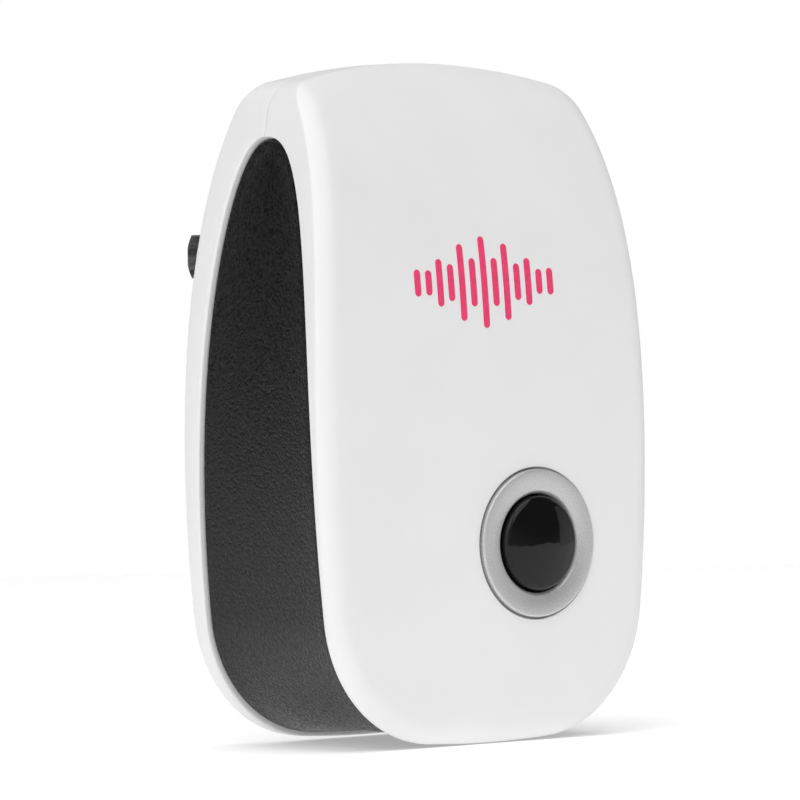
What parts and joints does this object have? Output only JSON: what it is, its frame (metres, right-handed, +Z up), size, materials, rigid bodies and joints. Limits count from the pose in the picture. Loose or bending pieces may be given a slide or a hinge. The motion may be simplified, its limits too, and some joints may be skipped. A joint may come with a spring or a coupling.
{
  "type": "plug-in ultrasonic pest repeller",
  "caption": "White two-shell plug-in ultrasonic pest repeller with a black side band, a ringed push button, flat plug blades on a rear boss and its electronics inside.",
  "frame": {"origin": "centre of the plug boss's outlet-contact face, midway between the two blades", "axes": "+Y out of the outlet-contact face, the way the blades point; +Z up; the front face and its button look along -Y"},
  "size_m": [0.061, 0.0602, 0.0953],
  "materials": {
    "white_plastic": "fine satin moulding",
    "black_plastic": "fine spark-eroded grain",
    "silver_ring": "satin silver",
    "gloss_black": "polished",
    "inner_black": "moulded",
    "red_plastic": "moulded",
    "yellow_plastic": "moulded",
    "capacitor_sleeve": "shrink sleeve",
    "resistor_coat": "lacquer",
    "ferrite": "sintered",
    "led_lens": "clear tinted",
    "board": "solder mask",
    "ceramic": "fired",
    "brass": "rolled",
    "blade_metal": "nickel plated",
    "steel": "zinc plated",
    "label_film": "blank silver film"
  },
  "bodies": {
    "root": {"front_cover": "white_plastic", "rear_cover": "white_plastic", "side_band": "black_plastic", "button_bezel": "silver_ring", "switch_housing": "inner_black", "switch_spring": "steel", "main_board": "board", "film_capacitor": "yellow_plastic", "filter_capacitor": "capacitor_sleeve", "fuse_resistor": "resistor_coat", "bridge_diode_1": "inner_black", "bridge_diode_2": "inner_black", "bridge_diode_3": "inner_black", "bridge_diode_4": "inner_black", "driver_chip": "inner_black", "boost_coil": "ferrite", "status_led": "led_lens", "speaker_frame": "inner_black", "piezo_disc": "brass", "piezo_ceramic": "ceramic", "blade_left": "blade_metal", "blade_right": "blade_metal", "blade_holder": "white_plastic", "holder_screw_1": "steel", "holder_screw_2": "steel", "board_screw_1": "steel", "board_screw_2": "steel", "case_screw_1": "steel", "case_screw_2": "steel", "case_screw_3": "steel", "case_screw_4": "steel", "line_wire": "red_plastic", "neutral_wire": "inner_black", "speaker_wire_1": "red_plastic", "speaker_wire_2": "inner_black", "rating_label": "label_film"},
    "button": {"button_cap": "gloss_black"},
    "plunger": {"switch_plunger": "red_plastic"}
  },
  "joints": [
    {"name": "button_press", "type": "slide", "parent": "root", "child": "button", "axis": [0, 1, 0], "range_m": [0, 0.0015], "stiffness_N_per_m": 1300, "springref_m": -0.001},
    {"name": "plunger_slide", "type": "slide", "parent": "root", "child": "plunger", "axis": [0, 1, 0], "range_m": [0, 0.0015], "deforming": ["switch_spring"]}
  ],
  "couplings": [
    {"joint": "plunger_slide", "follows": "button_press", "ratio": 1}
  ]
}
